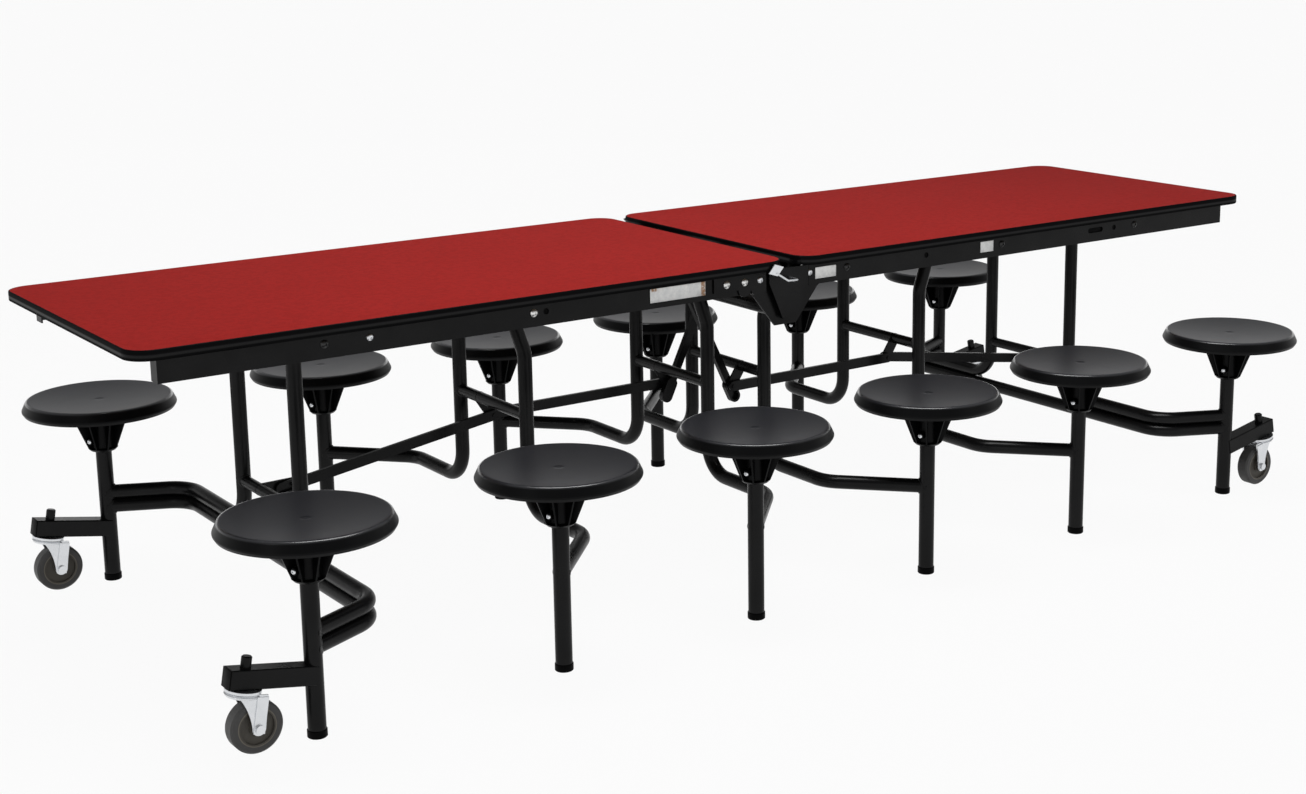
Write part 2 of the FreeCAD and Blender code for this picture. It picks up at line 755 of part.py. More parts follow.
# Seats: a dished moulded disc with a flared skirt, on a sleeve with tapered ribs round it
def make_seat():
    body = new_body("seat")
    bore = "(post_tube / 2 + bush_wall + running_clearance)"
    bore_top = "(post_top + bush_top + seat_axial_clearance)"
    skirt_low = "(seat_height - seat_skirt)"
    skirt_foot = "(seat_radius - seat_foot_tuck)"
    widest = f"({skirt_low} + seat_foot_rise)"
    crest = "(seat_radius - seat_crest_inset)"
    dish_edge = f"({crest} - seat_crest_width)"
    dish_low = "(seat_height - seat_dish)"
    under = f"({dish_low} - seat_wall)"
    turned = revolve(body, draw_outline(new_sketch(body, "seat_profile", "XZ_Plane"), [
        (bore, "hub_bottom"), ("hub_bottom_radius - hub_collar", "hub_bottom"),
        ("hub_bottom_radius", "hub_bottom + hub_collar"),
        ("hub_sleeve", "hub_bottom + hub_collar + hub_web"), ("hub_sleeve", under),
        (f"{crest} - seat_wall / 2", "seat_height - seat_wall"), ("seat_radius - seat_wall", widest),
        (f"{skirt_foot} - seat_wall / 2", skirt_low), (skirt_foot, skirt_low),
        ("seat_radius", widest), (crest, "seat_height"),
        (dish_edge, "seat_height", "0"), ("seat_dimple_radius", dish_low),
        ("seat_dimple_radius / 2", f"{dish_low} - seat_dimple_depth"),
        ("0", f"{dish_low} - seat_dimple_depth"), ("0", bore_top), (bore, bore_top)]))
    crested = fillet(body, turned, "seat_crest_round", lambda edge: is_ring(edge, crest, "seat_height"))
    fillet(body, crested, "seat_foot_round", lambda edge: is_ring(edge, "seat_radius", widest))
    rib_root = "(hub_sleeve - hub_web)"
    rib_top = f"({dish_low} - seat_wall / 4)"
    rib = draw_outline(new_sketch(body, "rib_profile", "XZ_Plane"), [
        (rib_root, "hub_bottom + hub_collar"), ("hub_bottom_radius", "hub_bottom + hub_collar"),
        ("rib_top_radius", under), ("rib_top_radius", rib_top), (rib_root, rib_top)])
    web = pad(body, rib, "rib_wall", middle=True)
    ribs = body.newObject("PartDesign::PolarPattern", "seat_ribs")
    ribs.Originals = [web]
    ribs.Axis = (rib, ["V_Axis"])
    ribs.Occurrences = RIB_COUNT
    body.Tip = ribs
    DOC.recompute()
    return body


def is_ring(edge, radius, height):
    same_radius = abs(getattr(edge.Curve, "Radius", 0) - size(radius)) < size("hole_clearance")
    return same_radius and abs(edge.BoundBox.ZMax - size(height)) < size("hole_clearance")


seat = make_seat()
for label, _, pivot, setback in FRAMES:
    for half, sign in (("left", "-"), ("right", "")):
        for side, reach in (("near", "-stool_side"), ("far", "stool_side")):
            node(f"{half}_{label}_{side}_seat", seat, f"{sign}({pivot} + {setback})", reach)


# Tie bars between the frames, and the crossed links to the yoke
def make_bar(name, length, wall, height, slot=None, floor="-cut_overrun"):
    """A flat bar along X from its pin hole, with a hole or a slot for the pin at its far end.

    The slot is open from the floor's height up to the bar's far side.
    """
    start = V(0, 0, 0)
    end = V(length, 0, 0)
    thick = size(wall)
    half = size(height) / 2
    shape = strap_shape(start, end, half, half, thick)
    bore = size("pin_diameter + 2 * running_clearance")
    if slot:
        before, after, width = [size(part) for part in slot]
        head_start = end - V(before, 0, 0)
        head_end = end + V(after, 0, 0)
        head = width / 2 + size("bracket_wall")
        shape = shape.fuse(strap_shape(head_start, head_end, head, head, thick)).removeSplitter()
        opening = strap_shape(head_start, head_end, width / 2, width / 2, thick + 2 * size("cut_overrun"))
        opening.translate(V(0, size(floor), 0))
        shape = shape.cut(opening)
    else:
        shape = shape.cut(round_hole(end, bore, thick))
    return free_shape(name, shape.cut(round_hole(start, bore, thick)))


def laid(name, bar, start, end, side):
    """A bar put with its pin hole at start and turned in XZ towards end."""
    lean = -math.degrees(math.atan2(end.z - start.z, end.x - start.x))
    item = group(name, bar)
    item.Placement = FreeCAD.Placement(V(start.x, side, start.z), FreeCAD.Rotation(V(0, 1, 0), lean))
    return item


def pin_spot(pivot, pin_x, pin_z):
    return V(size(f"{pin_x} - {pivot}"), 0, size(f"{pin_z} + {PIVOT_HEIGHT}"))


inner_pin = pin_spot("inner_pivot", PIN_X, PIN_Z)
middle_pin = pin_spot(MID_PIVOT, PIN_X, PIN_Z)
end_pin = pin_spot("end_pivot", END_PIN_X, END_PIN_Z)
yoke_pin = V(size("link_pivot_place"), 0, size("link_pivot_height"))
UPPER_SIDE = size("bar_side + bracket_wall / 2 + side_clearance")
LOWER_SIDE = size("bar_side - bracket_wall / 2 - side_clearance - bar_wall")
LINK_SIDE = size("bar_side - bracket_wall / 2 - side_clearance - link_wall")
inner_bar = make_bar("inner_bar", size("frame_pitch"), "bar_wall", "bar_height")
outer_bar = make_bar("outer_bar", (end_pin - middle_pin).Length, "bar_wall", "bar_height",
                     ("outer_slot_in", "outer_slot_out", "outer_slot_width"))
cross_link = make_bar("cross_link", (inner_pin - yoke_pin).Length, "link_wall", "link_height",
                      ("0", "link_slot_out", "link_slot_width"), "link_floor")
both_halves("inner_tie_bar", laid("inner_bar_laid", inner_bar, middle_pin, inner_pin, UPPER_SIDE))
both_halves("outer_tie_bar", laid("outer_bar_laid", outer_bar, middle_pin, end_pin, LOWER_SIDE))
both_halves("crossed_link", laid("cross_link_laid", cross_link, yoke_pin, inner_pin, LINK_SIDE))


# Yoke: two side plates on a cross tube carry both halves, with a cover at each end
def make_yoke_plate():
    body = new_body("yoke_plate")
    low = "(yoke_tube_height - yoke_foot)"
    shoulder = f"({PIVOT_HEIGHT} - yoke_shoulder_drop)"
    top = f"({PIVOT_HEIGHT} + yoke_lobe)"
    pad(body, draw_outline(new_sketch(body, "yoke_plate_outline", "XZ_Plane"), [
        ("-yoke_foot", low), ("yoke_foot", low), ("yoke_waist", shoulder),
        ("hinge_place", f"{PIVOT_HEIGHT} - yoke_lobe"), ("hinge_place", top),
        ("-hinge_place", top), ("-hinge_place", f"{PIVOT_HEIGHT} - yoke_lobe"),
        ("-yoke_waist", shoulder)]), "yoke_plate_wall")
    for label, sign in (("left", "-"), ("right", "")):
        lobe = new_sketch(body, label + "_lobe", "XZ_Plane")
        pad(body, draw_circle(lobe, f"{sign}hinge_place", PIVOT_HEIGHT, "yoke_lobe"), "yoke_plate_wall")
    holes = new_sketch(body, "yoke_holes", "XZ_Plane")
    for sign in ("-", ""):
        draw_circle(holes, f"{sign}hinge_place", PIVOT_HEIGHT, "bolt_diameter / 2 + running_clearance")
    cut_through(body, holes, "2 * yoke_plate_wall + 2 * cut_overrun")
    return place(body, y=PLATE_OUTSIDE)


def make_cover():
    """The near cover, which hangs between the rail ends and hides the hinge gap."""
    body = new_body("cover")
    top = "(pivot_height + cover_rise)"
    pad(body, draw_outline(new_sketch(body, "cover_outline", "XZ_Plane"), [
        ("-cover_short_side", top), ("-cover_short_side", "pivot_height - cover_short_drop"),
        ("-cover_tip", "pivot_height - cover_tip_drop"), ("cover_toe", "pivot_height - cover_toe_drop"),
        ("cover_waist", "pivot_height - cover_waist_low"),
        ("cover_waist", "pivot_height - cover_waist_high"),
        ("cover_long_side", "pivot_height - cover_long_drop"), ("cover_long_side", top)]), "cover_wall")
    bore = new_sketch(body, "lever_hole", "XZ_Plane")
    draw_circle(bore, "lever_place", "lever_height", "lever_rod / 2 + running_clearance")
    cut_through(body, bore, "2 * cover_wall + 2 * cut_overrun")
    return place(body, y="-(rail_face + cover_gap)")


def make_link_arm():
    """The arm on the cross tube that the crossed link hangs from, with its pin."""
    tube = V(0, 0, size("yoke_tube_height"))
    blank = strap_shape(tube, yoke_pin, size("yoke_tube / 2"), size("link_head"), size("bracket_wall"))
    arm = place(free_shape("link_arm_plate", blank), y="bar_side - bracket_wall / 2")
    length = "(bracket_wall + side_clearance + link_wall + pin_overhang)"
    pin = cylinder("link_pin", "pin_diameter", length, "link_pivot_place",
                   f"bar_side + bracket_wall / 2 - {length}", "link_pivot_height", ALONG_Y)
    return [arm, pin]


yoke_reach = "(rail_face + cover_gap)"
yoke_tube = cylinder("yoke_tube", "yoke_tube", f"2 * {yoke_reach}",
                     "0", f"-{yoke_reach}", "yoke_tube_height", ALONG_Y)
far_plate = make_yoke_plate()
near_cover = make_cover()
arm_pieces = make_link_arm()
turned_pieces = [place(group(piece.Name + "_turned", piece), turn=HALF_TURN)
                 for piece in [near_cover, *arm_pieces]]
node("centre_yoke", fuse("yoke", yoke_tube, far_plate, mirrored("near_plate", far_plate), near_cover,
                         *arm_pieces, *turned_pieces))


# Lock levers: bent rods that swing in the covers, with a flat hook at the outer end
def make_lever():
    rod = bent_tube("lever_rod", "lever_rod", [
        ("0", "lever_root", "0"), ("0", "-lever_stand", "0"),
        ("-lever_run", "-lever_stand", "lever_dip"), ("-lever_reach", "-lever_stand", "lever_rise")],
        ["lever_bend", "lever_bend"])
    hook = new_body("lever_hook")
    near_x = "(hook_lean - hook_place)"
    near_z = "(hook_start + hook_height)"
    pad(hook, draw_outline(new_sketch(hook, "lever_hook_outline", "XZ_Plane"), [
        ("-hook_place", "hook_start"), (near_x, near_z),
        (f"{near_x} - hook_width", f"{near_z} + hook_slope"),
        ("-hook_place - hook_width", "hook_start + hook_slope")]), "hook_wall")
    return fuse("lock_lever", rod, place(hook, y="hook_wall / 2 - lever_stand"))


both_halves("lock_lever", make_lever(), "lever_place", "-(rail_face + cover_gap + cover_wall)",
            "lever_height")


# Casters: stems in the outriggers, forks that swivel on them, wheels on axles
def make_stem():
    body = new_body("stem")
    cap_radius = "(stem_cap_diameter / 2)"
    top = "(caster_arm / 2 + stem_cap_height)"
    revolve(body, draw_outline(new_sketch(body, "stem_profile", "XZ_Plane"), [
        ("0", "-(caster_arm / 2 + race_gap + race_height)"),
        ("stem_diameter / 2", "-(caster_arm / 2 + race_gap + race_height)"),
        ("stem_diameter / 2", "caster_arm / 2"), (cap_radius, "caster_arm / 2"),
        (cap_radius, f"{top} - stem_cap_chamfer"), (f"{cap_radius} - stem_cap_chamfer", top), ("0", top)]))
    return body


FORK_TOP = "-(caster_arm / 2 + race_gap)"
AXLE_Z = "-(caster_arm / 2 + axle_drop)"


def make_fork():
    """A pressed fork: a raceway on the stem, a crown, and two cheeks that hold the axle."""
    body = new_body("fork")
    bore = "(stem_diameter / 2 + running_clearance)"
    revolve(body, draw_outline(new_sketch(body, "race_profile", "XZ_Plane"), [
        (bore, FORK_TOP), ("race_radius", FORK_TOP), ("race_radius", f"{FORK_TOP} - race_groove"),
        ("race_radius - race_waist", f"{FORK_TOP} - race_height / 2"),
        ("race_radius", f"{FORK_TOP} - race_height + race_groove"),
        ("race_radius - race_waist", f"{FORK_TOP} - race_height"), (bore, f"{FORK_TOP} - race_height")]))
    crown_top = f"({FORK_TOP} - race_height / 2)"
    for label, near, far in (("near", "-(fork_width / 2 + fork_wall)", "-fork_width / 2"),
                             ("far", "fork_width / 2", "fork_width / 2 + fork_wall")):
        cheek = new_sketch(body, label + "_cheek", "XZ_Plane")
        draw_outline(cheek, [
            ("-fork_back", crown_top, "-fork_curve"), ("caster_trail - fork_eye", AXLE_Z),
            ("caster_trail + fork_eye", AXLE_Z), ("fork_front", crown_top)])
        cheek.AttachmentOffset = FreeCAD.Placement(V(0, 0, size(f"-({near})")), FreeCAD.Rotation())
        cheek.setExpression("AttachmentOffset.Base.z", bound(f"-({near})"))
        pad(body, cheek, "fork_wall", back=True)
        eye = draw_circle(new_sketch(body, label + "_eye", "XZ_Plane"), "caster_trail", AXLE_Z, "fork_eye")
        eye.AttachmentOffset = FreeCAD.Placement(V(0, 0, size(f"-({near})")), FreeCAD.Rotation())
        eye.setExpression("AttachmentOffset.Base.z", bound(f"-({near})"))
        pad(body, eye, "fork_wall", back=True)
    rib_low = f"({AXLE_Z} - fork_eye + fork_rib_gap)"
    rib_high = f"({crown_top} - fork_rib_gap)"
    rib_side = "(fork_rib_width / 2)"
    for label, sign in (("near", "-"), ("far", "")):
        rib = new_sketch(body, label + "_cheek_rib", "XZ_Plane")
        draw_outline(rib, [
            (f"caster_trail - {rib_side}", rib_low), (f"caster_trail + {rib_side}", rib_low),
            (f"caster_trail + {rib_side}", rib_high), (f"caster_trail - {rib_side}", rib_high)])
        face = f"-({sign}(fork_width / 2 + fork_wall))"
        rib.AttachmentOffset = FreeCAD.Placement(V(0, 0, size(face)), FreeCAD.Rotation())
        rib.setExpression("AttachmentOffset.Base.z", bound(face))
        pad(body, rib, "fork_rib_depth", back=label == "far")
    hole = new_sketch(body, "axle_hole", "XZ_Plane")
    draw_circle(hole, "caster_trail", AXLE_Z, "axle_diameter / 2")
    cut_through(body, hole, "2 * fork_width")
    return body


def make_axle():
    body = new_body("axle")
    half = f"({AXLE_LENGTH} / 2)"
    radius = "(axle_diameter / 2)"
    head = "(axle_head / 2)"
    end = f"({half} + axle_head_height)"
    revolve(body, draw_outline(new_sketch(body, "axle_profile", "XZ_Plane"), [
        ("0", f"-{end}"), (head, f"-{end}"), (head, f"-{half}"), (radius, f"-{half}"),
        (radius, half), (head, half), (head, end), ("0", end)]))
    return body


def make_wheel_core():
    half = "(wheel_width / 2)"
    bore = "(axle_diameter / 2 + running_clearance)"
    outside = "(wheel_radius - tyre_depth)"
    lip = f"({outside} - wheel_crown)"
    body = new_body("wheel_core")
    revolve(body, draw_outline(new_sketch(body, "wheel_core_profile", "XZ_Plane"), [
        (bore, f"-{half}"), ("wheel_boss", f"-{half}"), ("wheel_boss", f"-{half} + hub_recess"),
        (lip, f"-{half} + hub_recess"), (lip, f"-{half}"), (outside, f"-{half}"),
        (outside, half), (lip, half), (lip, f"{half} - hub_recess"),
        ("wheel_boss", f"{half} - hub_recess"), ("wheel_boss", half), (bore, half)]))
    return body


def make_tyre():
    half = "(wheel_width / 2)"
    inside = "(wheel_radius - tyre_depth)"
    shoulder = "(wheel_radius - wheel_crown)"
    body = new_body("tyre")
    revolve(body, draw_outline(new_sketch(body, "tyre_profile", "XZ_Plane"), [
        (inside, f"-{half}"), (shoulder, f"-{half}"), ("wheel_radius", f"-{half} + wheel_crown"),
        ("wheel_radius", f"{half} - wheel_crown"), (shoulder, half), (inside, half)]))
    return body


fork = make_fork()
axle = place(group("axle_laid", make_axle()), "caster_trail", "0", AXLE_Z, ALONG_Y)
wheel = place(group("wheel_laid", make_wheel_core(), make_tyre()), "caster_trail", "0", AXLE_Z, ALONG_Y)
stem = make_stem()
fork_set = group("fork_set", fork, axle)


def on_outrigger(name, thing, reach):
    """A caster piece put on the left outrigger at one side, leaning with it."""
    held = place(group(name + "_held", thing), "-caster_stem_place")
    return place(group(name, held), "-(end_pivot + end_stool_setback)", reach, "caster_arm_height", TILT)


SIDES = (("near", "far", "-stool_side"), ("far", "near", "stool_side"))
stems = [on_outrigger(f"{side}_stem", stem, reach) for side, _, reach in SIDES]
both_halves("caster_stems", group("stem_pair", *stems))
for side, other, reach in SIDES:
    for piece, shape in (("caster_fork", fork_set), ("caster_wheel", wheel)):
        held = on_outrigger(f"{side}_{piece}_place", shape, reach)
        node(f"left_{side}_{piece}", held)
        node(f"right_{other}_{piece}", held, turn=HALF_TURN)

# Test every object, then write one file for each sub-part
DOC.recompute()
for item in DOC.Objects:
    if "Invalid" in item.State or "Error" in item.State:
        raise RuntimeError(f"{item.Name} failed: {item.State}")
for item in NODES:
    if item.Shape.isNull() or not item.Shape.isValid():
        raise RuntimeError(f"{item.Label} has no valid shape")
os.makedirs("parts", exist_ok=True)
for item in NODES:
    item.Shape.exportStep(f"parts/{item.Label}.step")
print(len(NODES), "sub-parts written")
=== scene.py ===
# Looks of the folding table with twelve attached swivel stools, in metres, in the frame of its CAD model.
import json
import math
from functools import reduce

import bmesh
import bpy
from mathutils import Matrix, Vector


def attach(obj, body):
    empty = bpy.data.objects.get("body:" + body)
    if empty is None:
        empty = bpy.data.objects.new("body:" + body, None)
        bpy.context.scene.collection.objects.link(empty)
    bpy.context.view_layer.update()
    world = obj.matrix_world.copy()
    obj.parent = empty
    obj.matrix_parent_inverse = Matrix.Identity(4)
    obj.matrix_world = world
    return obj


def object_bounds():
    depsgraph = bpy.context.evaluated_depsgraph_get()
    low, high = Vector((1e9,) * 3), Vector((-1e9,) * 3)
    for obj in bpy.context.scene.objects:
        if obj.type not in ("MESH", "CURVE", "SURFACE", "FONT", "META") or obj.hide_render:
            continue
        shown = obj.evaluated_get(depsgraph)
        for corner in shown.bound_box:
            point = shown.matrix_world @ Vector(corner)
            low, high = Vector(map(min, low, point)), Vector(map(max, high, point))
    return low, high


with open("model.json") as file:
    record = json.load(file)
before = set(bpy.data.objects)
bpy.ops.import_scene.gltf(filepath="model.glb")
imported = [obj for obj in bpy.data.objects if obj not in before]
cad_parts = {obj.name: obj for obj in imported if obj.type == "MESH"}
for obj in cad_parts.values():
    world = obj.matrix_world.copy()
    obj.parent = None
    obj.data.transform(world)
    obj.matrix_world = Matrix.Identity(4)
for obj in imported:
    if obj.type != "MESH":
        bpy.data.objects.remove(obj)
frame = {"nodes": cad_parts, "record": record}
cad_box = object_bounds()
nodes = frame["nodes"]

# The left half stands at -X, and the right half is the same, turned by half a turn about Z
HALVES = {"left": 1, "right": -1}
SIDES = {"near": -1, "far": 1}

# Places shared with the CAD model
PIVOT_HEIGHT = 0.694
RAIL_FACE = 0.350
RAIL_INSIDE = 0.347
FLANGE_LOW = 0.713
FLANGE_MIDDLE = 0.333
STOOL_X = {"inner": 0.243, "middle": 0.727, "end": 1.264}
STOOL_SIDE = 0.553
LEG_X = {"inner": 0.082, "middle": 0.566, "end": 1.098}
LEG_SPREAD = 0.150
LEG_RADIUS = 0.016
POST_RADIUS = 0.0175
KNEE_SIDE = {"inner": 0.381, "middle": 0.381, "end": 0.475}
ARM_HEIGHTS = {"inner": (0.207,), "middle": (0.207,), "end": (0.207, 0.1748)}
CROSS_HEIGHT = {"inner": 0.420, "middle": 0.420, "end": 0.301}
CASTER_TILT = math.radians(10.5)
CASTER_ARM_HEIGHT = 0.125
CASTER_ARM_LENGTH = 0.170
WHEEL_X = 1.3859
WHEEL_HEIGHT = 0.0544

# Where the finishes change; a pair says where a change begins and where it ends
NOISE_RANGE = (0.3, 0.7)
CLOUD_RANGE = (0.35, 0.65)
# Beyond this distance from the middle the pivot heads are black, painted shade for the dark holes at the
# outer ends
BRIGHT_BOLT_LIMIT = 1.0
BAND_CREST_HEIGHT = 0.7250
BAND_CREST_FADE = (0.0010, 0.0045)
SEAT_DISH = (0.04, 0.12)
SEAT_TOP_RADIUS = (0.1585, 0.1605)
SEAT_TOP_HEIGHT = (0.4222, 0.4238)
SEAT_CREST_RADIUS = 0.1572
SEAT_CREST_FADE = (0.0014, 0.0034)
SEAT_GATE_RADIUS = 0.020
SEAT_GATE_FADE = (0.0004, 0.0016)
HUB_RADIUS = 0.037
HUB_RING_RADIUS = 0.0365
HUB_RING_FADE = (0.0006, 0.0014)
STAINED_END = -0.232
STAINED_END_FADE = (0.004, 0.007)
STAINED_CORNER = -0.360
STAINED_CORNER_FADE = (0.004, 0.010)
STAINED_CORNER_HEIGHT = (0.7000, 0.7045)
RUST_RANGE = (0.30, 0.55)

# Meshes of the small forms; profiles are (radius, height) points, sizes are along X, Y and Z
MERGE_DISTANCE = 1e-6
SHARP_ANGLE = math.radians(38)
TURN_STEPS = 20
BEVEL_SEGMENTS = 2

# Welds
WELD_SIDES = 8
WELD_STEPS = 40
WELD_BEAD = 0.0026
ARM_WELD_RADIUS = 0.0162
CROSS_WELD_RADIUS = 0.0129

# Screws; a head's profile is in shares of its radius and height, a rail screw's place is (X, off the face)
BUTTON_SHARES = ((0, 0.45), (0.30, 0.45), (0.34, 1), (0.62, 0.93), (0.88, 0.60), (1, 0), (0, 0))
RAIL_SCREW = {"radius": 0.0075, "height": 0.0042}
FLANGE_SCREW = {"radius": 0.0052, "height": 0.0028}
HUB_SCREW = {"radius": 0.0052, "height": 0.0030}
HINGE_PLATE = 0.0041
RAIL_SCREW_PLACES = {"left": ((-1.023, 0.0), (-0.080, HINGE_PLATE)), "right": ((0.062, 0.0),)}
FLANGE_SCREW_PLACES = (0.290, 0.520, 0.820, 1.230)

# Plugs that darken the spare holes and slot as painted shade; a spare hole is (distance from the middle,
# side of the table)
SPARE_HOLES = ((0.626, -1), (0.412, 1), (1.044, 1))
HOLE_PLUG_PROFILE = ((0, 0.0012), (0.0055, 0.0012), (0.0061, 0.0006), (0.0061, 0),
                     (0.0088, 0), (0.0088, -0.0018), (0, -0.0018))
SLOT_X = 0.9775
SLOT_PLUG = (0.062, 0.0018, 0.021)
SLOT_PLUG_BEVEL = 0.0006
OUTRIGGER_PLUG = (0.002, 0.0372, 0.0372)
OUTRIGGER_PLUG_BEVEL = 0.0008

# Bumpers and bare plates
BUMPER = (0.028, 0.016, 0.018)
BUMPER_BEVEL = 0.003
BUMPER_X = 0.038
BUMPER_SIDE = 0.325
BUMPER_DROP = 0.006
LABEL_THICKNESS = 0.0012
LABEL_BEVEL = 0.0004

# Bosses and set screws of the seat hubs
BOSS_WAY = Vector((math.cos(math.radians(202.5)), math.sin(math.radians(202.5)), 0))
BOSS_HEIGHT = 0.334
BOSS_REACH = 0.0225
BOSS_PROFILE = ((0, 0.0155), (0.0062, 0.0155), (0.0072, 0.0145), (0.0086, 0), (0, 0))
HUB_SCREW_REACH = 0.0378

# Studio; the sky is white where the height of a look lies below the range
FLOOR_RADIUS = 60.0
FLOOR_DROP = 0.0005
FLOOR_TONE = 0.42
FLOOR_CLEAR_SHARE = 0.95
SKY_LIGHT = 0.33
SKY_WHITE = 0.67
SKY_WHITE_RANGE = (0.17, 0.36)
LAMPS = {
    "overhead": {"spot": (-0.3, -0.6, 3.7), "target": (0, 0, 0.4), "size": (2.6, 0.9), "watts": 96},
    "side": {"spot": (-4.2, -1.6, 1.5), "target": (-0.6, -0.4, 0.4), "size": (0.6, 1.8), "watts": 7},
    "back": {"spot": (4.6, 6.2, 1.0), "target": (0, 0, 0.5), "size": (9.0, 1.4), "watts": 14},
    "front": {"spot": (1.8, -3.6, 1.6), "target": (0.2, 0, 0.5), "size": (1.4, 1.0), "watts": 5},
}

# Camera, fitted to the photograph: sizes in its pixels, yaw to the right of +Y, pitch down
PHOTO_WIDTH = 1306.0
PHOTO_HEIGHT = 794.0
FOCAL_LENGTH = 2012.1
PHOTO_CENTRE = (753.0, 323.0)
CAMERA_SPOT = (-2.6901, -3.8640, 1.5464)
CAMERA_YAW = math.radians(36.422)
CAMERA_PITCH = math.radians(12.249)
CAMERA_ROLL = math.radians(-0.372)
SENSOR_WIDTH = 36.0
CLIP_END = 100.0


# Finishes
class Term:
    """A shader value that takes part in sums."""

    def __init__(self, shading, socket):
        self.shading = shading
        self.socket = socket

    def __add__(self, other):
        return self.shading.sum("ADD", self, other)

    def __radd__(self, other):
        return self.shading.sum("ADD", other, self)

    def __sub__(self, other):
        return self.shading.sum("SUBTRACT", self, other)

    def __rsub__(self, other):
        return self.shading.sum("SUBTRACT", other, self)

    def __mul__(self, other):
        return self.shading.sum("MULTIPLY", self, other)

    def __pow__(self, other):
        return self.shading.sum("POWER", self, other)

    def __abs__(self):
        return self.shading.sum("ABSOLUTE", self, 0.0)

    def __gt__(self, other):
        return self.shading.sum("GREATER_THAN", self, other)


class Shading:
    """The nodes of a material or of the world."""

    def __init__(self, owner, coordinate):
        owner.use_nodes = True
        self.tree = owner.node_tree
        self.spot = self.node("ShaderNodeTexCoord", {}, {}, coordinate)

    def node(self, kind, settings, inputs, output=0):
        made = self.tree.nodes.new(kind)
        for key, value in settings.items():
            setattr(made, key, value)
        for key, value in inputs.items():
            self.put(value, made.inputs[key])
        return Term(self, made.outputs[output])

    def put(self, value, socket):
        if isinstance(value, Term):
            self.tree.links.new(value.socket, socket)
        else:
            socket.default_value = value

    def sum(self, operation, first, second):
        return self.node("ShaderNodeMath", {"operation": operation}, {0: first, 1: second})

    def largest(self, *terms):
        return reduce(lambda one, other: self.sum("MAXIMUM", one, other), terms)

    def smallest(self, *terms):
        return reduce(lambda one, other: self.sum("MINIMUM", one, other), terms)

    def axis(self, letter):
        return self.node("ShaderNodeSeparateXYZ", {}, {0: self.spot}, letter)

    def between(self, value, reach, out_low=0.0, out_high=1.0):
        """A smooth step from one result to another, while a value goes through its reach."""
        inputs = {"Value": value, "From Min": reach[0], "From Max": reach[1],
                  "To Min": out_low, "To Max": out_high}
        return self.node("ShaderNodeMapRange", {"interpolation_type": "SMOOTHSTEP"}, inputs)

    def fade(self, value, reach):
        return self.between(value, reach, 1.0, 0.0)

    def seen(self):
        """1 where the eye, a reflection or a glass looks, and 0 where light is gathered."""
        return self.largest(*(self.node("ShaderNodeLightPath", {}, {}, f"Is {ray} Ray")
                              for ray in ("Camera", "Glossy", "Transmission")))


class Finish(Shading):
    """One procedural material on a principled surface."""

    def __init__(self, name, metallic=0.0, specular=0.5, coat_roughness=0.1):
        self.material = bpy.data.materials.new(name)
        super().__init__(self.material, "Object")
        self.surface = self.tree.nodes["Principled BSDF"]
        self.surface.inputs["Metallic"].default_value = metallic
        self.surface.inputs["Specular IOR Level"].default_value = specular
        self.surface.inputs["Coat Roughness"].default_value = coat_roughness

    def stretched(self, scale):
        return self.node("ShaderNodeMapping", {}, {"Vector": self.spot, "Scale": scale})

    def noise(self, grain, detail=2.0, roughness=0.5, spot=None):
        """Soft noise from 0 to 1, whose grains are about so many metres wide."""
        inputs = {"Vector": spot or self.spot, "Scale": 1.0 / grain,
                  "Detail": detail, "Roughness": roughness}
        return self.node("ShaderNodeTexNoise", {}, inputs)

    def cells(self, grain):
        return self.node("ShaderNodeTexVoronoi", {}, {"Vector": self.spot, "Scale": 1.0 / grain})

    def mix(self, share, first, second):
        return self.node("ShaderNodeMix", {"data_type": "RGBA"}, {0: share, 6: first, 7: second}, 2)

    def feed(self, **terms):
        """Put values into the surface's sockets, named by the sockets' names in lower case."""
        for name, term in terms.items():
            self.put(term, self.surface.inputs[name.replace("_", " ").title()])
        return self

    def relief(self, height, depth, strength):
        inputs = {"Height": height, "Distance": depth, "Strength": strength}
        return self.feed(normal=self.node("ShaderNodeBump", {}, inputs))


def paint(red, green, blue):
    return (red, green, blue, 1.0)


def grey(tone):
    return paint(tone, tone, tone)


def red_laminate():
    """Pebbled sheet with broad clouds, a fine mottle and a few paler flecks."""
    made = Finish("red_laminate", specular=0.008)
    pebble = made.noise(0.0016, detail=3.0, roughness=0.6)
    cloud = made.between(made.noise(0.22), NOISE_RANGE)
    mottle = made.between(made.noise(0.013, detail=4.0, roughness=0.75), (0.40, 0.60))
    fleck = made.between(made.noise(0.0009, detail=1.0), (0.62, 0.75))
    clouded = made.mix(cloud, paint(0.312, 0.0170, 0.0146), paint(0.334, 0.0200, 0.0170))
    mottled = made.mix(mottle, paint(0.238, 0.0136, 0.0118), clouded)
    pebbled = made.mix(made.between(pebble, CLOUD_RANGE), paint(0.250, 0.0116, 0.0100), mottled)
    made.feed(base_color=made.mix(fleck * 0.35, pebbled, paint(0.372, 0.030, 0.026)))
    made.feed(roughness=made.between(pebble, NOISE_RANGE, 0.56, 0.68))
    return made.relief(pebble, depth=0.00012, strength=0.45)


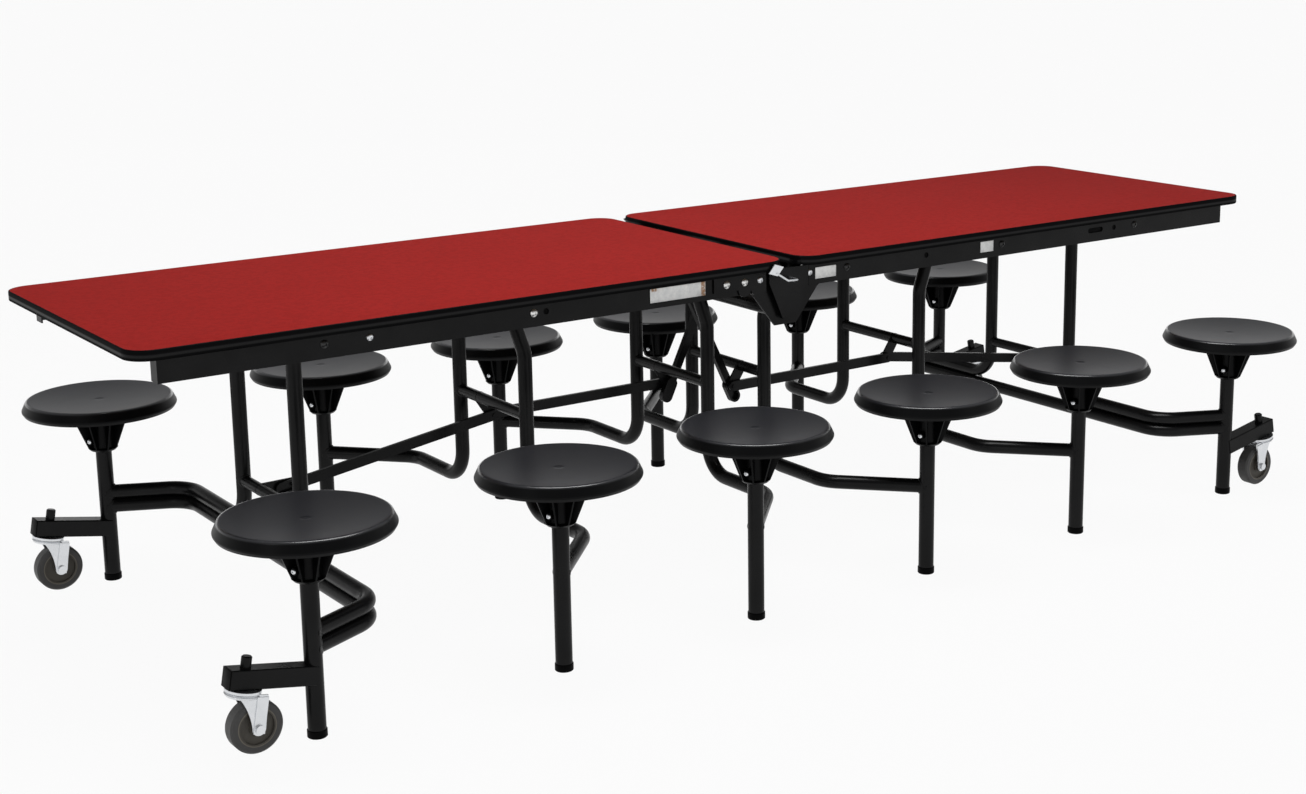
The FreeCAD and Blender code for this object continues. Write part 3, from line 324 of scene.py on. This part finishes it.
def black_vinyl():
    """Black moulding, glossier along the crest that runs round its middle."""
    made = Finish("black_vinyl_edge", specular=0.0, coat_roughness=0.16)
    streak = made.noise(0.012, detail=3.0, roughness=0.6, spot=made.stretched((0.06, 1.0, 4.0)))
    crest = made.fade(abs(made.axis("Z") - BAND_CREST_HEIGHT), BAND_CREST_FADE)
    dull, bright = paint(0.0030, 0.0030, 0.0034), paint(0.0054, 0.0054, 0.0058)
    made.feed(base_color=made.mix(streak, dull, bright))
    made.feed(roughness=made.between(streak, NOISE_RANGE, 0.26, 0.36))
    made.feed(coat_weight=0.06 + crest * 0.27)
    return made.relief(made.noise(0.0007, detail=1.0), depth=0.00005, strength=0.3)


def black_powder_coat():
    made = Finish("black_powder_coat", specular=0.03, coat_roughness=0.27)
    peel = made.noise(0.0022)
    dust = made.noise(0.09, detail=4.0, roughness=0.6)
    made.feed(base_color=made.mix(dust, paint(0.0050, 0.0050, 0.0054), paint(0.0076, 0.0076, 0.0080)))
    made.feed(roughness=made.between(dust, NOISE_RANGE, 0.25, 0.34))
    made.feed(coat_weight=made.between(dust, NOISE_RANGE, 0.26, 0.20))
    return made.relief(peel, depth=0.00008, strength=0.35)


def zinc_plate():
    made = Finish("zinc_plate", metallic=1.0)
    cloud = made.noise(0.018, detail=3.0)
    brush = made.noise(0.0012, roughness=0.6, spot=made.stretched((1.0, 1.0, 0.08)))
    made.feed(base_color=made.mix(cloud, paint(0.64, 0.66, 0.68), paint(0.76, 0.77, 0.79)))
    made.feed(roughness=made.between(brush, NOISE_RANGE, 0.26, 0.38))
    return made.relief(brush, depth=0.00003, strength=0.25)


def pivot_steel():
    """Bright heads at the middle of one rail of each half, and black ones elsewhere; at the outer ends the
    black is painted shade for dark pivot holes.
    """
    made = Finish("pivot_steel")
    along = made.axis("X")
    bright = ((along * made.axis("Y")) > 0.0) * (1.0 - (abs(along) > BRIGHT_BOLT_LIMIT))
    brush = made.noise(0.001)
    steel = made.mix(brush, paint(0.72, 0.72, 0.71), paint(0.86, 0.86, 0.85))
    # Black away from the bright heads; at the outer ends this black is painted shade standing in for the
    # dark pivot holes.
    made.feed(base_color=made.mix(bright, paint(0.0055, 0.0055, 0.006), steel))
    made.feed(metallic=bright, roughness=made.between(brush, NOISE_RANGE, 0.24, 0.40))
    return made


def seat_plastic():
    """Moulded plastic, rubbed paler on the outer part of the top and shiny where people slide over the
    crest; skirt, underside and hub carry painted shade.
    """
    made = Finish("seat_plastic", specular=0.09, coat_roughness=0.24)
    off_middle = abs(made.axis("X"))
    along = made.smallest(*(abs(off_middle - place) for place in STOOL_X.values()))
    across = abs(made.axis("Y")) - STOOL_SIDE
    reach = (along * along + across * across) ** 0.5
    pebble = made.cells(0.0011)
    cloud = made.noise(0.05, detail=3.0, roughness=0.6)
    rubbed = made.between(reach, SEAT_DISH) * made.between(cloud, CLOUD_RANGE, 0.4, 1.0)
    top_tone = made.mix(cloud, paint(0.0118, 0.0121, 0.0150), paint(0.0156, 0.0160, 0.0194))
    top = made.mix(rubbed * 0.5, top_tone, paint(0.0185, 0.0190, 0.0228))
    # Painted shade: every face but the top gets this much darker colour, standing in for the shade on the
    # skirt, underside and hub.
    painted_shade_skin = made.mix(cloud, paint(0.0022, 0.0023, 0.0026), paint(0.0032, 0.0033, 0.0037))
    top_face = made.fade(reach, SEAT_TOP_RADIUS) * made.between(made.axis("Z"), SEAT_TOP_HEIGHT)
    made.feed(base_color=made.mix(top_face, painted_shade_skin, top))
    crest = made.fade(abs(reach - SEAT_CREST_RADIUS), SEAT_CREST_FADE)
    made.feed(roughness=0.36 - crest * 0.10 + cloud * 0.05, coat_weight=crest)
    gate = made.fade(abs(reach - SEAT_GATE_RADIUS), SEAT_GATE_FADE)
    return made.relief(pebble * (0.4 - crest * 0.4) + gate, depth=0.00012, strength=0.35)


def black_nylon():
    made = Finish("black_nylon", specular=0.04)
    cloud = made.noise(0.02, detail=3.0)
    # Very dark; on the rail plugs this colour is painted shade for the dark inside of the holes and slot.
    made.feed(base_color=made.mix(cloud, paint(0.0016, 0.0016, 0.0017), paint(0.0030, 0.0030, 0.0031)))
    made.feed(roughness=made.between(cloud, NOISE_RANGE, 0.44, 0.56))
    return made.relief(made.noise(0.0009), depth=0.00005, strength=0.3)


def caster_rubber():
    """Grey tread round a brownish hub, with a thin pale ring between them."""
    made = Finish("caster_rubber", specular=0.35)
    across = abs(made.axis("X")) - WHEEL_X
    upward = made.axis("Z") - WHEEL_HEIGHT
    reach = (across * across + upward * upward) ** 0.5
    scuff = made.noise(0.014, detail=4.0, roughness=0.65)
    tread = made.mix(scuff, paint(0.082, 0.081, 0.080), paint(0.112, 0.110, 0.108))
    hub = made.mix(scuff, paint(0.098, 0.090, 0.076), paint(0.128, 0.118, 0.100))
    ring = made.fade(abs(reach - HUB_RING_RADIUS), HUB_RING_FADE)
    body = made.mix(reach > HUB_RADIUS, hub, tread)
    made.feed(base_color=made.mix(ring * 0.8, body, paint(0.26, 0.235, 0.195)))
    made.feed(roughness=made.between(scuff, NOISE_RANGE, 0.46, 0.62))
    return made.relief(made.noise(0.0012), depth=0.00006, strength=0.4)


def chip_board():
    made = Finish("chip_board", specular=0.2)
    chips = made.cells(0.004)
    fibre = made.noise(0.0015, detail=3.0, roughness=0.7, spot=made.stretched((0.25, 1.0, 1.0)))
    made.feed(base_color=made.mix(fibre, paint(0.26, 0.175, 0.10), paint(0.47, 0.345, 0.215)))
    made.feed(roughness=made.between(chips, (0.1, 0.6), 0.70, 0.88))
    return made.relief(fibre, depth=0.0002, strength=0.5)


def label_metal():
    """Bare foil with grey clouds; the long plate is stained at its inner end and outer corner."""
    made = Finish("label_metal", metallic=0.75)
    brush = made.noise(0.0010, roughness=0.6, spot=made.stretched((0.03, 1.0, 1.0)))
    cloud = made.between(made.noise(0.016, detail=4.0, roughness=0.7), CLOUD_RANGE)
    foil = made.mix(brush, paint(0.66, 0.66, 0.65), paint(0.80, 0.80, 0.79))
    clouded = made.mix(cloud * 0.45, foil, paint(0.47, 0.48, 0.49))
    along = made.axis("X")
    end = made.fade(abs(along - STAINED_END), STAINED_END_FADE)
    corner = made.fade(abs(along - STAINED_CORNER), STAINED_CORNER_FADE)
    corner = corner * made.between(made.axis("Z"), STAINED_CORNER_HEIGHT)
    rust = made.between(made.noise(0.006, detail=4.0, roughness=0.7), RUST_RANGE)
    made.feed(base_color=made.mix(made.largest(end, corner) * rust, clouded, paint(0.33, 0.185, 0.10)))
    made.feed(roughness=made.between(brush, NOISE_RANGE, 0.34, 0.48))
    return made.relief(brush, depth=0.00002, strength=0.3)


FINISHES = {
    "red_laminate": red_laminate(),
    "black_band": black_vinyl(),
    "black_frame": black_powder_coat(),
    "zinc": zinc_plate(),
    "pivot_steel": pivot_steel(),
    "seat_plastic": seat_plastic(),
    "black_nylon": black_nylon(),
    "grey_rubber": caster_rubber(),
    "board": chip_board(),
    "label": label_metal(),
}


def dress(node, finish):
    mesh = nodes[node].data
    if not mesh.materials:
        mesh.materials.append(finish.material)
    for index in range(len(mesh.materials)):
        mesh.materials[index] = finish.material


for entry in frame["record"]["subparts"]:
    is_bolts = entry["node"].endswith("pivot_bolts")
    dress(entry["node"], FINISHES["pivot_steel" if is_bolts else entry["material_slot"]])


# Mesh helpers
def finished(name, shape, finish, body):
    """Turn a bmesh into a piece that rides on one body."""
    bmesh.ops.remove_doubles(shape, verts=shape.verts, dist=MERGE_DISTANCE)
    bmesh.ops.recalc_face_normals(shape, faces=shape.faces)
    mesh = bpy.data.meshes.new(name)
    shape.to_mesh(mesh)
    shape.free()
    mesh.shade_smooth()
    mesh.set_sharp_from_angle(angle=SHARP_ANGLE)
    mesh.materials.append(FINISHES[finish].material)
    piece = bpy.data.objects.new(name, mesh)
    bpy.context.scene.collection.objects.link(piece)
    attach(piece, body)


def facing(direction):
    """The turn that brings Z onto a direction."""
    return Vector((0, 0, 1)).rotation_difference(Vector(direction)).to_matrix().to_4x4()


def moved(shape, verts, matrix):
    bmesh.ops.transform(shape, matrix=matrix, verts=verts)


def spun(shape, verts, edges, steps):
    bmesh.ops.spin(shape, geom=verts + edges, cent=(0, 0, 0), axis=(0, 0, 1), dvec=(0, 0, 0),
                   angle=math.tau, steps=steps, use_merge=True)
    shape.verts.ensure_lookup_table()


def turned_profile(shape, profile, matrix):
    """A solid of revolution about Z from points that begin and end on the axis."""
    first = len(shape.verts)
    verts = [shape.verts.new((radius, 0, height)) for radius, height in profile]
    edges = [shape.edges.new(pair) for pair in zip(verts, verts[1:])]
    spun(shape, verts, edges, TURN_STEPS)
    moved(shape, shape.verts[first:], matrix)


def rounded_plate(shape, size, bevel, matrix):
    cube = bmesh.ops.create_cube(shape, size=1.0)["verts"]
    moved(shape, cube, Matrix.Diagonal((*size, 1.0)))
    edges = list({edge for vert in cube for edge in vert.link_edges})
    rounded = bmesh.ops.bevel(shape, geom=edges, offset=bevel, offset_type="OFFSET", affect="EDGES",
                              segments=BEVEL_SEGMENTS, profile=0.5, material=-1)
    verts = set(rounded["verts"]) | {vert for vert in cube if vert.is_valid}
    moved(shape, list(verts), matrix)


# Welds where the tubes of a frame meet
def weld_bead(shape, centre, along, tube_radius, upright_radius):
    """A ring of weld round a tube that runs along one way and ends on an upright tube."""
    first = len(shape.verts)
    ring = bmesh.ops.create_circle(shape, segments=WELD_SIDES, radius=WELD_BEAD)["verts"]
    moved(shape, ring, Matrix.Translation((tube_radius, 0, 0)) @ Matrix.Rotation(math.pi / 2, 4, "X"))
    edges = list({edge for vert in ring for edge in vert.link_edges})
    spun(shape, ring, edges, WELD_STEPS)
    moved(shape, shape.verts[first:], facing(along))
    way = Vector(along).normalized()
    sideways = way.cross(Vector((0, 0, 1))).normalized()
    for vert in shape.verts[first:]:
        off = min(abs(vert.co.dot(sideways)), upright_radius)
        vert.co += way * math.sqrt(upright_radius ** 2 - off ** 2) + Vector(centre)


def frame_welds(half, label):
    sign = -HALVES[half]
    shape = bmesh.new()
    for side in SIDES.values():
        post = Vector((sign * STOOL_X[label], side * STOOL_SIDE, 0))
        knee = Vector((sign * LEG_X[label], side * KNEE_SIDE[label], 0))
        for height in ARM_HEIGHTS[label]:
            weld_bead(shape, post + Vector((0, 0, height)), knee - post, ARM_WELD_RADIUS, POST_RADIUS)
        leg = Vector((sign * LEG_X[label], side * LEG_SPREAD, CROSS_HEIGHT[label]))
        weld_bead(shape, leg, (0, -side, 0), CROSS_WELD_RADIUS, LEG_RADIUS)
    finished(f"{half}_{label}_welds", shape, "black_frame", f"{half}_{label}_frame")


for half in HALVES:
    for label in LEG_X:
        frame_welds(half, label)


# Fasteners, shade plugs, bumpers and plates on the rails
def button_head(shape, spot, direction, radius, height):
    profile = [(radius * outward, height * upward) for outward, upward in BUTTON_SHARES]
    turned_profile(shape, profile, Matrix.Translation(spot) @ facing(direction))


def rail_fasteners(half):
    shape = bmesh.new()
    for along, raised in RAIL_SCREW_PLACES[half]:
        button_head(shape, (along, -RAIL_FACE - raised, PIVOT_HEIGHT), (0, -1, 0), **RAIL_SCREW)
    finished(f"{half}_rail_fasteners", shape, "zinc", f"{half}_top")


def rail_shade_plugs(half):
    """Very dark plugs sunk in the spare holes and a dark plate behind the slot of the rails: painted shade
    for the dark inside of the open holes and slot.
    """
    turn = HALVES[half]
    shape = bmesh.new()
    for along, across in SPARE_HOLES:
        spot = (-turn * along, turn * across * RAIL_INSIDE, PIVOT_HEIGHT)
        turned_profile(shape, HOLE_PLUG_PROFILE, Matrix.Translation(spot) @ facing((0, turn * across, 0)))
    slot_spot = (-turn * SLOT_X, turn * (RAIL_INSIDE - SLOT_PLUG[1] / 2), PIVOT_HEIGHT)
    rounded_plate(shape, SLOT_PLUG, SLOT_PLUG_BEVEL, Matrix.Translation(slot_spot))
    finished(f"{half}_rail_shade_plugs", shape, "black_nylon", f"{half}_top")


def flange_screws(half):
    shape = bmesh.new()
    for along in FLANGE_SCREW_PLACES:
        for side in SIDES.values():
            spot = (-HALVES[half] * along, side * FLANGE_MIDDLE, FLANGE_LOW)
            button_head(shape, spot, (0, 0, -1), **FLANGE_SCREW)
    finished(f"{half}_flange_screws", shape, "zinc", f"{half}_top")


def corner_bumpers(half):
    """Rubber bumpers under the inner corners of a top, just inside the yoke's plates."""
    shape = bmesh.new()
    for side in SIDES.values():
        spot = (-HALVES[half] * BUMPER_X, side * BUMPER_SIDE, FLANGE_LOW - BUMPER_DROP)
        rounded_plate(shape, BUMPER, BUMPER_BEVEL, Matrix.Translation(spot))
    finished(f"{half}_corner_bumpers", shape, "black_nylon", f"{half}_top")


def label_plate(name, half, start, end, low, high):
    shape = bmesh.new()
    size = (end - start, LABEL_THICKNESS, high - low)
    middle = ((start + end) / 2, -RAIL_FACE - LABEL_THICKNESS / 2, (low + high) / 2)
    rounded_plate(shape, size, LABEL_BEVEL, Matrix.Translation(middle))
    finished(name, shape, "label", f"{half}_top")


for half in HALVES:
    rail_fasteners(half)
for half in HALVES:
    rail_shade_plugs(half)
    flange_screws(half)
for half in HALVES:
    corner_bumpers(half)
label_plate("left_bare_plate", "left", start=-0.370, end=-0.226, low=0.6775, high=0.708)
label_plate("right_inner_bare_plate", "right", start=0.078, end=0.138, low=0.677, high=0.703)
label_plate("right_outer_bare_plate", "right", start=0.584, end=0.626, low=0.680, high=0.706)


# Screws in the seat hubs
def hub_screw(half, label, side):
    """A moulded boss between two ribs of a hub, with a set screw in it."""
    seat = f"{half}_{label}_{side}_seat"
    middle = Vector((-HALVES[half] * STOOL_X[label], SIDES[side] * STOOL_SIDE, BOSS_HEIGHT))
    boss = bmesh.new()
    spot = Matrix.Translation(middle + BOSS_WAY * BOSS_REACH)
    turned_profile(boss, BOSS_PROFILE, spot @ facing(BOSS_WAY))
    finished(f"{seat}_boss", boss, "seat_plastic", seat)
    head = bmesh.new()
    button_head(head, middle + BOSS_WAY * HUB_SCREW_REACH, BOSS_WAY, **HUB_SCREW)
    finished(f"{seat}_screw", head, "zinc", seat)


for half in HALVES:
    for label in STOOL_X:
        for side in SIDES:
            hub_screw(half, label, side)


# Plugs in the open ends of the outriggers
def outrigger(half, side):
    """The place of an outrigger's inner end, turned with it, as a matrix."""
    sign = HALVES[half]
    base = Matrix.Translation((-STOOL_X["end"], sign * SIDES[side] * STOOL_SIDE, CASTER_ARM_HEIGHT))
    tilted = base @ Matrix.Rotation(CASTER_TILT, 4, "Y")
    return tilted if sign > 0 else Matrix.Rotation(math.pi, 4, "Z") @ tilted


def outrigger_plug(half, side):
    shape = bmesh.new()
    outward = Matrix.Translation((-CASTER_ARM_LENGTH - OUTRIGGER_PLUG[0] / 2, 0, 0))
    rounded_plate(shape, OUTRIGGER_PLUG, OUTRIGGER_PLUG_BEVEL, outrigger(half, side) @ outward)
    finished(f"{half}_{side}_outrigger_plug", shape, "black_nylon", f"{half}_end_frame")


for half in HALVES:
    for side in SIDES:
        outrigger_plug(half, side)


# Studio: floor, backdrop, lamps and camera
def floor_finish():
    """A film that takes the shadow: the eye looks through most of it, from below through all of it."""
    film = Finish("pale_floor", specular=0.0)
    film.feed(base_color=grey(FLOOR_TONE), roughness=0.9)
    from_below = film.node("ShaderNodeNewGeometry", {}, {}, "Backfacing")
    share = film.largest(from_below, film.seen() * FLOOR_CLEAR_SHARE)
    surface = Term(film, film.surface.outputs[0])
    clear = film.node("ShaderNodeBsdfTransparent", {}, {})
    blend = film.node("ShaderNodeMixShader", {}, {0: share, 1: surface, 2: clear})
    film.put(blend, film.tree.nodes["Material Output"].inputs["Surface"])
    return film


def floor():
    """A disc under the open table; what folds down below it still shows."""
    mesh = bpy.data.meshes.new("floor")
    shape = bmesh.new()
    bmesh.ops.create_circle(shape, cap_ends=True, segments=64, radius=FLOOR_RADIUS)
    shape.to_mesh(mesh)
    shape.free()
    mesh.materials.append(floor_finish().material)
    disc = bpy.data.objects.new("floor", mesh)
    disc.location.z = cad_box[0][2] - FLOOR_DROP
    bpy.context.scene.collection.objects.link(disc)


def backdrop():
    """A pale sky that the eye sees as white below and low over the horizon."""
    world = bpy.data.worlds.new("studio")
    bpy.context.scene.world = world
    air = Shading(world, "Generated")
    background = air.tree.nodes["Background"]
    background.inputs["Color"].default_value = grey(1.0)
    white = air.between(air.axis("Z"), SKY_WHITE_RANGE, SKY_WHITE, 0.0)
    air.put(SKY_LIGHT + air.seen() * white, background.inputs["Strength"])


def lamp(name, spot, target, size, watts):
    data = bpy.data.lights.new(name, "AREA")
    data.shape = "RECTANGLE"
    data.size = size[0]
    data.size_y = size[1]
    data.energy = watts
    thing = bpy.data.objects.new(name, data)
    thing.location = spot
    thing.rotation_euler = (Vector(target) - Vector(spot)).to_track_quat("-Z", "Y").to_euler()
    bpy.context.scene.collection.objects.link(thing)


def camera():
    data = bpy.data.cameras.new("camera")
    data.sensor_width = SENSOR_WIDTH
    data.sensor_fit = "HORIZONTAL"
    data.lens = FOCAL_LENGTH / PHOTO_WIDTH * SENSOR_WIDTH
    data.shift_x = (PHOTO_WIDTH / 2 - PHOTO_CENTRE[0]) / PHOTO_WIDTH
    data.shift_y = (PHOTO_CENTRE[1] - PHOTO_HEIGHT / 2) / PHOTO_WIDTH
    data.clip_end = CLIP_END
    thing = bpy.data.objects.new("camera", data)
    level = math.cos(CAMERA_PITCH)
    way = Vector((math.sin(CAMERA_YAW) * level, math.cos(CAMERA_YAW) * level, -math.sin(CAMERA_PITCH)))
    upright = way.to_track_quat("-Z", "Y").to_matrix().to_4x4()
    rolled = upright @ Matrix.Rotation(CAMERA_ROLL, 4, "Z")
    thing.matrix_world = Matrix.Translation(CAMERA_SPOT) @ rolled
    bpy.context.scene.collection.objects.link(thing)
    bpy.context.scene.camera = thing


floor()
backdrop()
for name, lighting in LAMPS.items():
    lamp(name, **lighting)
camera()
bpy.context.scene.view_settings.view_transform = "Standard"
